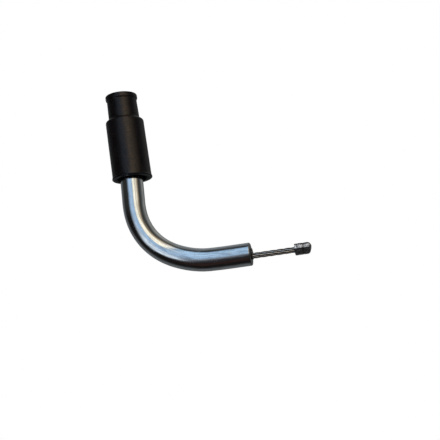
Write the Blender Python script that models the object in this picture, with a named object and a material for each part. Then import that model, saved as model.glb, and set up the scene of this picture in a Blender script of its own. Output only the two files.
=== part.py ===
"""Elbow end of a motorcycle throttle cable.

A chromed tube bent through 90 degrees guides a stranded inner wire out to its swaged end slug. The
tube's other end carries a swivelling cable adjuster, which a stepped rubber boot covers.

Frame: the origin is the centre of the tube's outlet face, +X is the way the wire leaves, and +Z runs up
the inlet arm, towards the boot. The bend lies in the XZ plane. Units are metres.
"""
import math

import bmesh
import bpy
from mathutils import Vector

MM = 0.001

# Elbow tube.
TUBE_R = 4.0 * MM
BORE_R = 2.5 * MM
BEND_R = 24.4 * MM
BEND_ANGLE = math.radians(90)
INLET_X = -38.9 * MM
INLET_END_Z = 35.0 * MM
LIP_BORE_R = 2.1 * MM
LIP_DEPTH = 0.9 * MM
RIM_ROUND = 0.5 * MM
OUTLET_TANGENT_X = INLET_X + BEND_R
BEND_CENTRE = Vector((OUTLET_TANGENT_X, 0.0, BEND_R))

# Wire: a core and six strands, which lie low in the tube, plus the two hidden stretches behind it.
WIRE_DROP = 0.7 * MM
HIDDEN_WIRE_DROP = 0.4 * MM
STRAND_COUNT = 6
STRAND_R = 0.33 * MM
STRAND_CIRCLE_R = 0.7 * MM
CORE_R = 0.33 * MM
LAY_LENGTH = 16.0 * MM
PLAIN_WIRE_R = 0.95 * MM
WIRE_INNER_X = -14.3 * MM
WIRE_PATH_R = BEND_R + HIDDEN_WIRE_DROP
WIRE_BEND_START = math.radians(12.5)
WIRE_BEND_END = math.radians(92)
WIRE_INLET_LOW_Z = 31.6 * MM
WIRE_INLET_HIGH_Z = 52.0 * MM

# End slug, swaged in two bites with a groove between them.
SLUG_START_X = 15.0 * MM
SLUG_GROOVE_X = 18.1 * MM
SLUG_TIP_X = 20.25 * MM
SLUG_FLAT_R = 1.9 * MM
SLUG_CORNER_CUT = 0.16
SLUG_CHAMFER = 0.45 * MM
SLUG_GROOVE_HALF = 0.25 * MM
SLUG_GROOVE_DEPTH = 0.3 * MM
SLUG_HOLE_R = 1.12 * MM
SLUG_HOLE_DEPTH = 3.8 * MM

# Adjuster. Neighbouring faces in the stack keep END_GAP, and turning fits keep RUNNING_GAP.
END_GAP = 0.1 * MM
RUNNING_GAP = 0.05 * MM
THREAD_R = 3.0 * MM
THREAD_HOLE_R = THREAD_R + RUNNING_GAP
WIRE_HOLE_R = 1.6 * MM
HEX_FLAT_R = 4.0 * MM
HEX_CORNER_R = HEX_FLAT_R / math.cos(math.pi / 6)
HEX_BLANK_R = HEX_CORNER_R + END_GAP
HEX_CHAMFER = 0.45 * MM
HEX_END_R = HEX_BLANK_R - 1.7 * HEX_CHAMFER

SPIGOT_LOW_Z = 32.0 * MM
FLANGE_TOP_Z = 35.6 * MM
WASHER_THICK = 0.4 * MM
UNION_LOW_Z = FLANGE_TOP_Z + WASHER_THICK + 2 * END_GAP
JOURNAL_TOP_Z = 39.4 * MM
ORING_Z = 37.45 * MM
SNAP_RING_Z = 38.8 * MM
FLANGE_R = 3.9 * MM
LOCK_WASHER_R = 4.3 * MM
UNION_TOP_Z = 44.4 * MM
NUT_LOW_Z = UNION_TOP_Z + WASHER_THICK + 2 * END_GAP
NUT_TOP_Z = 47.4 * MM
SCREW_LOW_Z = 39.8 * MM
HEAD_LOW_Z = 49.0 * MM
HEAD_TOP_Z = 52.8 * MM
CUP_FLOOR_Z = 50.2 * MM
CUP_R = 3.1 * MM
FERRULE_LOW_Z = CUP_FLOOR_Z + END_GAP
FERRULE_TOP_Z = 58.5 * MM
FERRULE_FLOOR_Z = 51.6 * MM
CONDUIT_R = 2.55 * MM

# Rubber boot.
MOUTH_Z = 32.6 * MM
MOUTH_TAPER_Z = 33.9 * MM
SHOULDER_LOW_Z = 53.3 * MM
NECK_LOW_Z = 54.8 * MM
COLLAR_LOW_Z = 61.3 * MM
COLLAR_FULL_Z = 62.5 * MM
BOOT_TOP_Z = 63.6 * MM
BOOT_BEAD_R = 7.05 * MM
BOOT_MOUTH_R = 6.9 * MM
BOOT_SHOULDER_R = 6.74 * MM
NECK_LOW_R = 5.43 * MM
NECK_HIGH_R = 5.3 * MM
COLLAR_R = 5.65 * MM
BOOT_INNER_R = 5.0 * MM
NECK_INNER_R = 3.2 * MM
CONDUIT_LIP_R = 2.6 * MM
CONDUIT_LIP_HEIGHT = 1.0 * MM

ROUND_STEPS = 28


def clear_scene():
    for item in list(bpy.data.objects):
        bpy.data.objects.remove(item, do_unlink=True)


def make_material(name, colour, roughness, metallic):
    material = bpy.data.materials.new(name)
    material.use_nodes = True
    shader = material.node_tree.nodes["Principled BSDF"]
    shader.inputs["Base Color"].default_value = (*colour, 1.0)
    shader.inputs["Roughness"].default_value = roughness
    shader.inputs["Metallic"].default_value = metallic
    return material


def add_axis(name, location, rotation=(0.0, 0.0, 0.0)):
    """Add an empty whose local Z is the axis that the pieces under it are turned about."""
    empty = bpy.data.objects.new(name, None)
    empty.location = location
    empty.rotation_euler = rotation
    empty.empty_display_size = 5 * MM
    bpy.context.collection.objects.link(empty)
    return empty


def add_object(name, mesh_builder, material, parent=None):
    mesh = bpy.data.meshes.new(name)
    bmesh.ops.remove_doubles(mesh_builder, verts=mesh_builder.verts, dist=1e-7)
    bmesh.ops.recalc_face_normals(mesh_builder, faces=mesh_builder.faces)
    mesh_builder.to_mesh(mesh)
    mesh_builder.free()
    mesh.materials.append(material)
    mesh.shade_smooth()
    mesh.set_sharp_from_angle(angle=math.radians(35))
    item = bpy.data.objects.new(name, mesh)
    item.parent = parent
    bpy.context.collection.objects.link(item)
    return item


def rounded(centre_r, centre_z, radius, start, end, steps=3):
    """Points (r, z) of an arc in a profile. Angles are in degrees from the +r direction."""
    points = []
    for step in range(steps + 1):
        angle = math.radians(start + (end - start) * step / steps)
        points.append((centre_r + radius * math.cos(angle), centre_z + radius * math.sin(angle)))
    return points


def spin_profile(profile, segments, sweep=math.tau):
    """Turn a closed profile of (r, z) points about Z, all the way round or part of it with end caps."""
    builder = bmesh.new()
    verts = [builder.verts.new((r, 0.0, z)) for r, z in profile]
    whole = sweep == math.tau
    if whole:
        ring = list(zip(verts, verts[1:] + verts[:1]))
        # An edge that lies on the axis would sweep out nothing.
        start = [builder.edges.new(pair) for pair in ring if max(v.co.x for v in pair) > 0.0]
    else:
        start = [builder.faces.new(verts)]
    bmesh.ops.spin(builder, geom=verts + start, cent=(0, 0, 0), axis=(0, 0, 1), angle=sweep,
                   steps=segments, use_merge=whole)
    return builder


def turned(name, profile, material, parent=None, segments=ROUND_STEPS):
    return add_object(name, spin_profile(profile, segments), material, parent)


def washer_profile(inner_r, outer_r, low_z, thickness):
    high_z = low_z + thickness
    return [(inner_r, low_z), (outer_r, low_z), (outer_r, high_z), (inner_r, high_z)]


def loft(rings):
    """Join rings of equal size into one closed solid, capped at its first and last ring."""
    builder = bmesh.new()
    loops = [[builder.verts.new(point) for point in ring] for ring in rings]
    count = len(loops[0])
    for near, far in zip(loops, loops[1:]):
        for index in range(count):
            after = (index + 1) % count
            builder.faces.new((near[index], near[after], far[after], far[index]))
    builder.faces.new(loops[0])
    builder.faces.new(loops[-1])
    return builder


def circle_ring(centre, across, up, radius, sides):
    ring = []
    for index in range(sides):
        angle = math.tau * index / sides
        ring.append(centre + radius * (math.cos(angle) * across + math.sin(angle) * up))
    return ring


def cut_to_hexagon(item, low_z, high_z, parent):
    """Keep only what lies inside a hexagonal bar, which is left as a hidden guide object."""
    margin = 1 * MM
    ends = [Vector((0, 0, low_z - margin)), Vector((0, 0, high_z + margin))]
    rings = [circle_ring(end, Vector((1, 0, 0)), Vector((0, 1, 0)), HEX_CORNER_R, 6) for end in ends]
    guide = add_object(item.name + "_hexagon", loft(rings), item.data.materials[0], parent)
    hide_guide(guide)
    modifier = item.modifiers.new("hexagon", "BOOLEAN")
    modifier.operation = "INTERSECT"
    modifier.object = guide


def hide_guide(guide):
    guide.hide_render = True
    guide.display_type = "WIRE"


def bend_along_tube(point):
    """Move a point of a straight tube along X, ending at the outlet, onto the bent tube's path."""
    past = OUTLET_TANGENT_X - point.x
    if past <= 0.0:
        return point.copy()
    angle = min(past / BEND_R, BEND_ANGLE)
    straight = past - angle * BEND_R
    arm = BEND_R - point.z
    return Vector((BEND_CENTRE.x - arm * math.sin(angle), point.y,
                   BEND_CENTRE.z - arm * math.cos(angle) + straight))


def build_elbow_tube(material):
    """The bent tube: its outlet end is rolled in to a smaller hole, which keeps the bush in."""
    bend_steps = 16
    bend_length = BEND_R * BEND_ANGLE
    length = -OUTLET_TANGENT_X + bend_length + INLET_END_Z - BEND_R
    stations = [-OUTLET_TANGENT_X + bend_length * step / bend_steps for step in range(bend_steps + 1)]
    outer = rounded(TUBE_R - RIM_ROUND, -RIM_ROUND, RIM_ROUND, 90, 0)
    outer += [(TUBE_R, -station) for station in stations]
    inlet = [(TUBE_R, -length), (BORE_R, -length)]
    inner = [(BORE_R, -station) for station in reversed(stations)]
    lip = [(BORE_R, -LIP_DEPTH), (LIP_BORE_R, -LIP_DEPTH), (LIP_BORE_R, 0.0)]
    builder = spin_profile(outer + inlet + inner + lip, ROUND_STEPS)
    for vert in builder.verts:
        across, sideways, along = vert.co
        vert.co = bend_along_tube(Vector((along, sideways, -across)))
    return add_object("elbow_tube", builder, material)


def build_outlet_bush(material, outlet_axis):
    """Nylon bush behind the rolled lip. Its hole is off-centre by the wire's drop."""
    nose_r = 2.0 * MM
    nose_x = 0.5 * MM
    nose_round = 0.2 * MM
    body_r = BORE_R - RUNNING_GAP
    body_front_x = -LIP_DEPTH - END_GAP
    body_back_x = -5.0 * MM
    profile = [(0.0, body_back_x), (body_r, body_back_x), (body_r, body_front_x), (nose_r, body_front_x)]
    profile += rounded(nose_r - nose_round, nose_x - nose_round, nose_round, 0, 90, 2)
    profile += [(0.0, nose_x)]
    bush = turned("outlet_bush", profile, material, outlet_axis)
    hole_r = 1.12 * MM
    funnel_r = 1.7 * MM
    funnel_x = body_back_x + 1.2 * MM
    margin = 1 * MM
    cutter = turned("outlet_bush_hole",
                    [(0.0, body_back_x - margin), (funnel_r + 0.4 * MM, body_back_x - margin),
                     (hole_r, funnel_x), (hole_r, nose_x + margin), (0.0, nose_x + margin)],
                    material, outlet_axis, 20)
    # The outlet axis has its local X pointing down.
    cutter.location = (WIRE_DROP, 0, 0)
    hide_guide(cutter)
    modifier = bush.modifiers.new("wire_hole", "BOOLEAN")
    modifier.operation = "DIFFERENCE"
    modifier.object = cutter


def build_swivel(steel, nylon, rubber, spring_steel, inlet_axis):
    """Spigot pressed into the tube, its seal and snap ring, and the union body that turns on it."""
    tail_r = BORE_R - RUNNING_GAP
    chamfer = 0.25 * MM
    funnel_height = 1.0 * MM
    oring_groove_r = 2.25 * MM
    oring_half = 0.45 * MM
    snap_groove_r = 2.55 * MM
    snap_half = 0.3 * MM
    turned("inlet_spigot", [
        (tail_r - chamfer, SPIGOT_LOW_Z), (tail_r, SPIGOT_LOW_Z + chamfer), (tail_r, INLET_END_Z + END_GAP),
        (FLANGE_R, INLET_END_Z + END_GAP), (FLANGE_R, FLANGE_TOP_Z), (THREAD_R, FLANGE_TOP_Z),
        (THREAD_R, ORING_Z - oring_half), (oring_groove_r, ORING_Z - oring_half),
        (oring_groove_r, ORING_Z + oring_half), (THREAD_R, ORING_Z + oring_half),
        (THREAD_R, SNAP_RING_Z - snap_half), (snap_groove_r, SNAP_RING_Z - snap_half),
        (snap_groove_r, SNAP_RING_Z + snap_half), (THREAD_R, SNAP_RING_Z + snap_half),
        (THREAD_R, JOURNAL_TOP_Z - chamfer), (THREAD_R - chamfer, JOURNAL_TOP_Z),
        (WIRE_HOLE_R, JOURNAL_TOP_Z), (WIRE_HOLE_R, SPIGOT_LOW_Z + funnel_height)], steel, inlet_axis)

    washer = washer_profile(THREAD_R + END_GAP, FLANGE_R, FLANGE_TOP_Z + END_GAP, WASHER_THICK)
    turned("thrust_washer", washer, nylon, inlet_axis)

    oring_r = 2.66 * MM
    oring_section_r = 0.36 * MM
    turned("o_ring", rounded(oring_r, ORING_Z, oring_section_r, 0, 315, 7), rubber, inlet_axis)

    ring_thick = 0.5 * MM
    ring_inner_r = 2.65 * MM
    ring_outer_r = 3.4 * MM
    ring_sweep = math.radians(335)
    ring_turn = math.radians(100)
    section = washer_profile(ring_inner_r, ring_outer_r, SNAP_RING_Z - ring_thick / 2, ring_thick)
    snap_ring = add_object("snap_ring", spin_profile(section, 24, ring_sweep), spring_steel, inlet_axis)
    snap_ring.rotation_euler = (0, 0, ring_turn)

    groove_r = 3.5 * MM
    groove_half = 0.4 * MM
    union = turned("union_body", [
        (THREAD_HOLE_R, UNION_LOW_Z), (HEX_END_R, UNION_LOW_Z), (HEX_BLANK_R, UNION_LOW_Z + HEX_CHAMFER),
        (HEX_BLANK_R, UNION_TOP_Z - HEX_CHAMFER), (HEX_END_R, UNION_TOP_Z), (THREAD_HOLE_R, UNION_TOP_Z),
        (THREAD_HOLE_R, SNAP_RING_Z + groove_half), (groove_r, SNAP_RING_Z + groove_half),
        (groove_r, SNAP_RING_Z - groove_half), (THREAD_HOLE_R, SNAP_RING_Z - groove_half)],
        steel, inlet_axis)
    cut_to_hexagon(union, UNION_LOW_Z, UNION_TOP_Z, inlet_axis)


def build_adjuster(steel, brass, spring_steel, inlet_axis):
    """Hollow adjuster screw with its lock nut and washer, and the ferrule that takes the conduit."""
    thread_chamfer = 0.4 * MM
    screw = turned("adjuster_screw", [
        (WIRE_HOLE_R, SCREW_LOW_Z), (THREAD_R - thread_chamfer, SCREW_LOW_Z),
        (THREAD_R, SCREW_LOW_Z + thread_chamfer), (THREAD_R, HEAD_LOW_Z),
        (HEX_END_R, HEAD_LOW_Z), (HEX_BLANK_R, HEAD_LOW_Z + HEX_CHAMFER),
        (HEX_BLANK_R, HEAD_TOP_Z - HEX_CHAMFER), (HEX_END_R, HEAD_TOP_Z),
        (CUP_R, HEAD_TOP_Z), (CUP_R, CUP_FLOOR_Z), (WIRE_HOLE_R, CUP_FLOOR_Z)], steel, inlet_axis)
    cut_to_hexagon(screw, SCREW_LOW_Z, HEAD_TOP_Z, inlet_axis)

    washer = washer_profile(THREAD_R + END_GAP, LOCK_WASHER_R, UNION_TOP_Z + END_GAP, WASHER_THICK)
    turned("lock_washer", washer, spring_steel, inlet_axis)

    nut = turned("lock_nut", [
        (THREAD_HOLE_R, NUT_LOW_Z), (HEX_END_R, NUT_LOW_Z), (HEX_BLANK_R, NUT_LOW_Z + HEX_CHAMFER),
        (HEX_BLANK_R, NUT_TOP_Z - HEX_CHAMFER), (HEX_END_R, NUT_TOP_Z), (THREAD_HOLE_R, NUT_TOP_Z)],
        steel, inlet_axis)
    cut_to_hexagon(nut, NUT_LOW_Z, NUT_TOP_Z, inlet_axis)

    rim_round = 0.25 * MM
    ferrule = [(WIRE_HOLE_R, FERRULE_LOW_Z), (THREAD_R - rim_round, FERRULE_LOW_Z),
               (THREAD_R, FERRULE_LOW_Z + rim_round)]
    ferrule += [(THREAD_R, FERRULE_TOP_Z - rim_round), (THREAD_R - rim_round, FERRULE_TOP_Z)]
    ferrule += [(CONDUIT_R, FERRULE_TOP_Z), (CONDUIT_R, FERRULE_FLOOR_Z), (WIRE_HOLE_R, FERRULE_FLOOR_Z)]
    turned("conduit_ferrule", ferrule, brass, inlet_axis)

    seat = washer_profile(WIRE_HOLE_R, CONDUIT_R - RUNNING_GAP, FERRULE_FLOOR_Z + END_GAP, WASHER_THICK)
    turned("seat_washer", seat, spring_steel, inlet_axis)


def build_boot(rubber, inlet_axis):
    """Stepped boot: a beaded mouth, a slightly tapered skirt, a round shoulder, and a collared neck."""
    bead_round = 0.45 * MM
    mouth_flare = 0.2 * MM
    shoulder_round = 1.0 * MM
    collar_round = 0.5 * MM
    step_slope = 0.6 * MM
    profile = [(BOOT_INNER_R + mouth_flare, MOUTH_Z)]
    profile += rounded(BOOT_BEAD_R - bead_round, MOUTH_Z + bead_round, bead_round, -90, 60, 4)
    profile += [(BOOT_MOUTH_R, MOUTH_TAPER_Z)]
    profile += rounded(BOOT_SHOULDER_R - shoulder_round, SHOULDER_LOW_Z, shoulder_round, 0, 60)
    profile += [(NECK_LOW_R, NECK_LOW_Z), (NECK_HIGH_R, COLLAR_LOW_Z), (COLLAR_R, COLLAR_FULL_Z)]
    profile += rounded(COLLAR_R - collar_round, BOOT_TOP_Z - collar_round, collar_round, 0, 90)
    lip_low_z = BOOT_TOP_Z - CONDUIT_LIP_HEIGHT
    profile += [(CONDUIT_LIP_R, BOOT_TOP_Z), (CONDUIT_LIP_R, lip_low_z),
                (NECK_INNER_R, lip_low_z - step_slope), (NECK_INNER_R, SHOULDER_LOW_Z + step_slope),
                (BOOT_INNER_R, SHOULDER_LOW_Z - step_slope), (BOOT_INNER_R, MOUTH_Z + mouth_flare)]
    turned("rubber_boot", profile, rubber, inlet_axis, 36)


def build_stranded_wire(material):
    """The straight stretch from inside the tube to inside the slug, with right-hand lay."""
    wire_end_x = SLUG_START_X + SLUG_HOLE_DEPTH - 3 * END_GAP
    rings_per_lay = 12
    steps = math.ceil((wire_end_x - WIRE_INNER_X) / LAY_LENGTH * rings_per_lay)
    slope = math.tau / LAY_LENGTH
    for strand in range(STRAND_COUNT):
        rings = []
        for step in range(steps + 1):
            x = WIRE_INNER_X + (wire_end_x - WIRE_INNER_X) * step / steps
            angle = slope * x + math.tau * strand / STRAND_COUNT
            outward = Vector((0, math.cos(angle), math.sin(angle)))
            around = Vector((0, -math.sin(angle), math.cos(angle)))
            along = (Vector((1, 0, 0)) + around * slope * STRAND_CIRCLE_R).normalized()
            centre = Vector((x, 0, -WIRE_DROP)) + outward * STRAND_CIRCLE_R
            rings.append(circle_ring(centre, outward, along.cross(outward), STRAND_R, 6))
        add_object("wire_strand_%d" % (strand + 1), loft(rings), material)
    ends = [Vector((x, 0, -WIRE_DROP)) for x in (WIRE_INNER_X, wire_end_x)]
    rings = [circle_ring(end, Vector((0, 1, 0)), Vector((0, 0, 1)), CORE_R, 8) for end in ends]
    add_object("wire_core", loft(rings), material)


def build_hidden_wire(material, inlet_axis):
    """The wire inside the bend, which turns about the bend's centre, and the wire inside the adjuster."""
    bend_axis = add_axis("bend_axis", BEND_CENTRE)
    side = Vector((0, 1, 0))
    sides = 10
    steps = 10
    rings = []
    for step in range(steps + 1):
        angle = WIRE_BEND_START + (WIRE_BEND_END - WIRE_BEND_START) * step / steps
        outward = Vector((-math.sin(angle), 0, -math.cos(angle)))
        rings.append(circle_ring(outward * WIRE_PATH_R, side, outward, PLAIN_WIRE_R, sides))
    add_object("wire_bend", loft(rings), material, bend_axis)
    ends = [Vector((-HIDDEN_WIRE_DROP, 0, z)) for z in (WIRE_INLET_LOW_Z, WIRE_INLET_HIGH_Z)]
    rings = [circle_ring(end, side, Vector((1, 0, 0)), PLAIN_WIRE_R, sides) for end in ends]
    add_object("wire_inlet", loft(rings), material, inlet_axis)


def hexagon_section(x, flat_r):
    """A hexagon with cut corners about the wire's axis: two corners face +Y and -Y."""
    centre = Vector((x, 0, -WIRE_DROP))
    corner_r = flat_r / math.cos(math.pi / 6)
    corners = circle_ring(centre, Vector((0, 1, 0)), Vector((0, 0, 1)), corner_r, 6)
    ring = []
    for index, corner in enumerate(corners):
        after = corners[(index + 1) % 6]
        ring.append(corner.lerp(corners[index - 1], SLUG_CORNER_CUT))
        ring.append(corner.lerp(after, SLUG_CORNER_CUT))
    return ring


def hole_section(x, radius):
    """A round ring whose points line up with those of hexagon_section."""
    centre = Vector((x, 0, -WIRE_DROP))
    return [centre + (point - centre).normalized() * radius for point in hexagon_section(x, SLUG_FLAT_R)]


def build_slug(material):
    """Two swaged bites with a groove between them, chamfered ends, and a blind hole for the wire."""
    groove_r = SLUG_FLAT_R - SLUG_GROOVE_DEPTH
    start_chamfer = 0.1 * MM
    sections = [
        (SLUG_TIP_X, SLUG_FLAT_R - SLUG_CHAMFER), (SLUG_TIP_X - SLUG_CHAMFER, SLUG_FLAT_R),
        (SLUG_GROOVE_X + 2 * SLUG_GROOVE_HALF, SLUG_FLAT_R), (SLUG_GROOVE_X + SLUG_GROOVE_HALF, groove_r),
        (SLUG_GROOVE_X - SLUG_GROOVE_HALF, groove_r), (SLUG_GROOVE_X - 2 * SLUG_GROOVE_HALF, SLUG_FLAT_R),
        (SLUG_START_X + start_chamfer, SLUG_FLAT_R), (SLUG_START_X, SLUG_FLAT_R - start_chamfer)]
    rings = [hexagon_section(x, flat_r) for x, flat_r in sections]
    rings += [hole_section(x, SLUG_HOLE_R) for x in (SLUG_START_X, SLUG_START_X + SLUG_HOLE_DEPTH)]
    add_object("wire_slug", loft(rings), material)


def main():
    clear_scene()
    chrome = make_material("chrome", (0.75, 0.77, 0.79), 0.08, 1.0)
    steel = make_material("zinc_steel", (0.62, 0.63, 0.64), 0.35, 1.0)
    spring_steel = make_material("spring_steel", (0.35, 0.36, 0.38), 0.4, 1.0)
    brass = make_material("brass", (0.72, 0.55, 0.27), 0.35, 1.0)
    wire = make_material("wire_steel", (0.45, 0.43, 0.41), 0.38, 1.0)
    slug = make_material("slug_metal", (0.2, 0.2, 0.21), 0.45, 1.0)
    nylon = make_material("black_nylon", (0.02, 0.02, 0.022), 0.5, 0.0)
    rubber = make_material("black_rubber", (0.018, 0.018, 0.02), 0.6, 0.0)

    outlet_axis = add_axis("outlet_axis", (0, 0, 0), (0, math.radians(90), 0))
    inlet_axis = add_axis("inlet_axis", (INLET_X, 0, 0))

    build_elbow_tube(chrome)
    build_outlet_bush(nylon, outlet_axis)
    build_swivel(steel, nylon, rubber, spring_steel, inlet_axis)
    build_adjuster(steel, brass, spring_steel, inlet_axis)
    build_boot(rubber, inlet_axis)
    build_stranded_wire(wire)
    build_hidden_wire(wire, inlet_axis)
    build_slug(slug)


main()
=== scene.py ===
import math
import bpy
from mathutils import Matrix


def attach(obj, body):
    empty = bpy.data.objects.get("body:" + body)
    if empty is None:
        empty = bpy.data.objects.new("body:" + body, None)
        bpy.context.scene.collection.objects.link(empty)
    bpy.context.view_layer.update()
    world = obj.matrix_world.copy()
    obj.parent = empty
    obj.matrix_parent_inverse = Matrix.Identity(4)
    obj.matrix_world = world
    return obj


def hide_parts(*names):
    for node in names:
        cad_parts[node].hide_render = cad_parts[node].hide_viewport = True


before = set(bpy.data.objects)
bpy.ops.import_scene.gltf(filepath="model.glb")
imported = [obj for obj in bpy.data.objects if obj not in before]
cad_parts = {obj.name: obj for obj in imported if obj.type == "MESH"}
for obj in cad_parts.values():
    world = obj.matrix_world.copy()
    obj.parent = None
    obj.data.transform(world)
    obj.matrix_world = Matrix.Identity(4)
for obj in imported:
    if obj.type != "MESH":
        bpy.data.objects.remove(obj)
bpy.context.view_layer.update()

from types import SimpleNamespace

import bmesh
import bpy
import numpy as np
from mathutils import Matrix, Vector, noise

MM = 0.001
DEGREES = 180 / math.pi

# Sizes are in millimetres, and most are the CAD's own. Stations are along the outlet arm from its
# face, with the wire's side positive, and heights are along the inlet arm.
TUBE_R = 4.0
BORE_R = 2.5
BEND_R = 24.4
BEND_X = -14.5
INLET_X = -38.9
INLET_END_Z = 35.0
LIP_BORE_R = 2.1
LIP_DEPTH = 0.9
RIM_ROUND = 0.5
# How far the tube's outside lies inward of its plain arc, by distance from the outlet's face.
TUBE_STATIONS = (0.0, 10.0, 14.0, 19.0, 24.0, 29.0, 34.0, 39.0, 45.0, 52.0, 70.0)
TUBE_INWARD = (0.0, 0.0, 0.12, 0.34, 0.33, 0.03, -0.28, -0.46, -0.42, -0.12, 0.0)

# The wire lies off the tube's middle line. Its stretch in the bend is given in degrees.
WIRE_DROP = 0.7
HIDDEN_WIRE_DROP = 0.4
VISIBLE_WIRE_SPAN = (-14.3, 18.6)
BEND_WIRE_ANGLES = (12.5, 92.0)
INLET_WIRE_SPAN = (31.6, 52.0)
LAY_LENGTH = 16.0
STRAND_R = 0.33
STRAND_CIRCLE_R = 0.70
STRAND_LAY_LENGTH = 5.2
GAP_SHARE, CROWN_SHARE = 0.577, 0.423

SLUG_START, SLUG_GROOVE, SLUG_TIP = 15.0, 17.95, 20.25
SLUG_FLAT_R = 1.9
SLUG_SOCKET_R = 1.12
SLUG_SLANT = 0.28
SLUG_SLANT_RISE = 0.85
SLUG_TIP_BULGE = 0.24
SLUG_WEAR = 0.9
SLUG_WEAR_LENGTH = 0.95
GROOVE_RELIEF = 0.9
GROOVE_HALF_WIDTH = 0.4
# Where painted light lies on the slug: its angle round the wire and its spread, in degrees.
LIT_SIDE_ANGLE, LIT_SIDE_SPREAD = 157, 22

THREAD_R = 3.0
THREAD_DEPTH = 0.55
WIRE_HOLE_R = 1.6
HEX_FLAT_R = 4.0
HEX_CHAMFER = 0.45
UNION_LOW_Z, UNION_HIGH_Z = 36.2, 44.4
NUT_LOW_Z, NUT_HIGH_Z = 45.0, 47.4
HEAD_LOW_Z, HEAD_HIGH_Z = 49.0, 52.8

# The boot's lean is in millimetres per millimetre of height.
BOOT_MOUTH_Z, BOOT_SHOULDER_Z, BOOT_TOP_Z = 32.6, 53.3, 63.6
SKIRT_LOW_R, SKIRT_HIGH_R = 6.88, 6.74
NECK_R = 5.43
BOOT_LEAN = 0.036
BOOT_LEAN_START = 0.24
# Where the dust and its painted warm sheen lie on the boot, in degrees.
DUST_SHEEN_ANGLE, DUST_SHEEN_SPREAD = 17, 15

# The studio, in metres and radians. The lens is in millimetres.
STUDIO_FRONT = math.radians(8.5)
CAMERA_DISTANCE = 0.45
CAMERA_AIM = (-0.00942, 0.0, 0.0134)
CAMERA_ELEVATION = math.radians(-12.5)
CAMERA_ROLL = math.radians(6.6)
CAMERA_LENS = 106.67
FLOOR_Z = -0.16
FLOOR_RADIUS = 5.0
FLOOR_SIDES = 96
FLOOR_GLOW = 0.8
LIGHT_PLACE = (0.1, -0.2, 1.5)
LIGHT_SIZE = 1.6
LIGHT_POWER = 22.0
LIGHT_COLOUR = (1.0, 0.99, 0.97)
# Normals of two slanting planes, as right, front and up. The first parts the blue panel from the
# cream one, and the second the lit front of the studio from its grey back.
EDGE_PLANE = (0.876, 0.291, -0.384)
DEPTH_PLANE = (0.1347, -0.9585, 0.2508)

# The studio's colours, in linear light.
BLACK_LOW, BLACK_MIDDLE = (0.010, 0.009, 0.009), (0.027, 0.028, 0.027)
BLACK_LEFT, BLACK_RIGHT = (0.022, 0.024, 0.026), (0.043, 0.045, 0.042)
BLACK_UNDER_SKY = (0.032, 0.032, 0.037)
GREY_LOW, GREY_LOW_BACK, GREY_GLOW = (0.15, 0.16, 0.168), (0.13, 0.135, 0.13), (0.37, 0.37, 0.35)
GREY_LEFT, GREY_RIGHT = (0.245, 0.268, 0.284), (0.265, 0.275, 0.262)
CREAM_LOW, CREAM_MIDDLE, CREAM_HIGH = (1.20, 1.13, 0.93), (1.55, 1.43, 1.14), (1.2, 1.18, 1.12)
CREAM_FADE, TAN, BROWN = (1.15, 0.90, 0.62), (0.42, 0.34, 0.23), (0.27, 0.22, 0.15)
SKY_LOW, SKY_HIGH = (0.43, 0.61, 0.83), (0.53, 0.78, 1.05)
SKY_PALE, SKY_FADE = (0.82, 0.94, 1.06), (0.42, 0.45, 0.50)
DARK_RED = (0.028, 0.016, 0.014)
WHITE = (1.0, 1.0, 1.0)


# ---------------------------------------------------------------- node graphs

class Graph:
    """Adds nodes to a node tree. Inputs take a number, a tuple or another node's output."""

    def __init__(self, tree):
        self.tree = tree

    def node(self, kind, inputs=(), **settings):
        item = self.tree.nodes.new(kind)
        for key, value in settings.items():
            setattr(item, key, value)
        for key, value in dict(inputs).items():
            socket = item.inputs[key]
            if isinstance(value, bpy.types.NodeSocket):
                self.tree.links.new(value, socket)
            else:
                socket.default_value = value
        return item

    def math(self, operation, first, second=0.0, clamp=False):
        item = self.node("ShaderNodeMath", {0: first, 1: second}, operation=operation,
                         use_clamp=clamp)
        return item.outputs[0]

    def plus(self, first, second):
        return self.math("ADD", first, second)

    def times(self, *values):
        result = values[0]
        for value in values[1:]:
            result = self.math("MULTIPLY", result, value)
        return result

    def soft(self, value, start, end, low=0.0, high=1.0):
        """A smooth step from low at start to high at end."""
        item = self.node("ShaderNodeMapRange", {"Value": value, "From Min": start, "From Max": end,
                                                "To Min": low, "To Max": high},
                         interpolation_type="SMOOTHSTEP")
        return item.outputs["Result"]

    def mix(self, share, first, second):
        first = (*first, 1.0) if isinstance(first, tuple) and len(first) == 3 else first
        second = (*second, 1.0) if isinstance(second, tuple) and len(second) == 3 else second
        item = self.node("ShaderNodeMix", {0: share, 6: first, 7: second}, data_type="RGBA")
        return item.outputs[2]

    def noise(self, vector, scale, detail=2.0, stretch=(1.0, 1.0, 1.0), offset=(0.0, 0.0, 0.0)):
        placed = self.node("ShaderNodeMapping",
                           {"Vector": vector, "Scale": stretch, "Location": offset})
        item = self.node("ShaderNodeTexNoise",
                         {"Vector": placed.outputs[0], "Scale": scale, "Detail": detail})
        return item.outputs[0]

    def angle_from(self, right, front, up, normal):
        """Degrees from the plane with that normal, for a direction given by its three parts."""
        parts = [self.times(value, share) for value, share in zip((right, front, up), normal)]
        sine = self.plus(parts[0], self.plus(parts[1], parts[2]))
        return self.times(self.math("ARCSINE", sine), DEGREES)

    def bump(self, height, distance, strength=1.0, normal=None):
        inputs = {"Height": height, "Distance": distance, "Strength": strength}
        if normal is not None:
            inputs["Normal"] = normal
        return self.node("ShaderNodeBump", inputs).outputs[0]


def start_material(name):
    """A new material, its graph and its Principled shader."""
    material = bpy.data.materials.new(name)
    material.use_nodes = True
    graph = Graph(material.node_tree)
    shader = material.node_tree.nodes["Principled BSDF"]
    return material, graph, shader


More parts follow.
